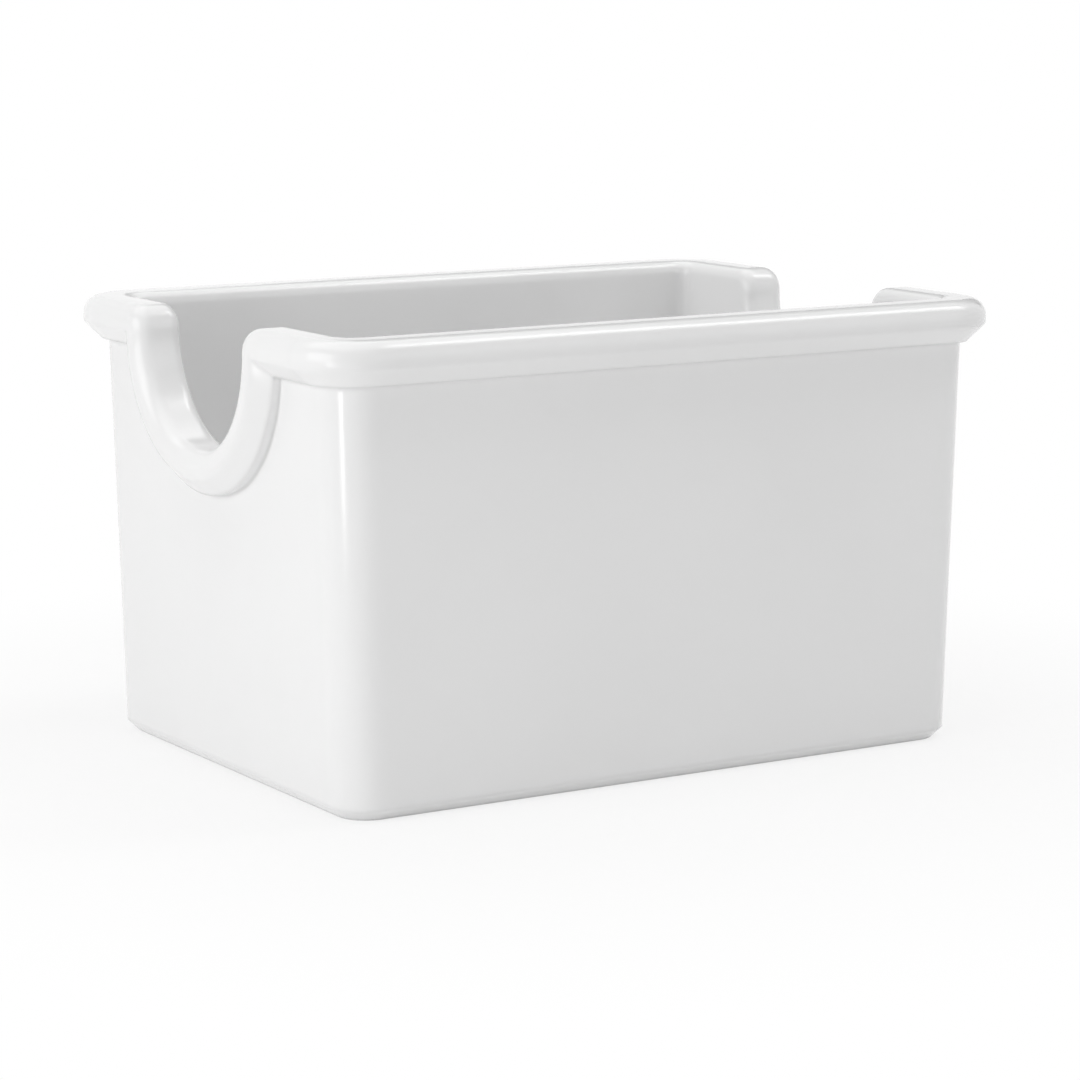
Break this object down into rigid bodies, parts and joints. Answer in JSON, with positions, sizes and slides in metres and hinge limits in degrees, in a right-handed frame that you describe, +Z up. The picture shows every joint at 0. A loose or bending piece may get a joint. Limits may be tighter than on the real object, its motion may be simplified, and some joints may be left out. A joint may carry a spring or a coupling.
{
  "type": "sugar caddy",
  "caption": "Open rectangular tub for sugar packets, moulded in one piece with a rolled rim and a rounded finger notch in each end.",
  "frame": {"origin": "middle of the face the caddy stands on", "axes": "+X along the length, towards one notched end; +Y across the width; +Z up, out of the open mouth"},
  "size_m": [0.088, 0.0636, 0.0508],
  "materials": {
    "white_plastic": "glossy opaque white moulding"
  },
  "bodies": {
    "root": {"caddy_body": "white_plastic"}
  },
  "joints": []
}
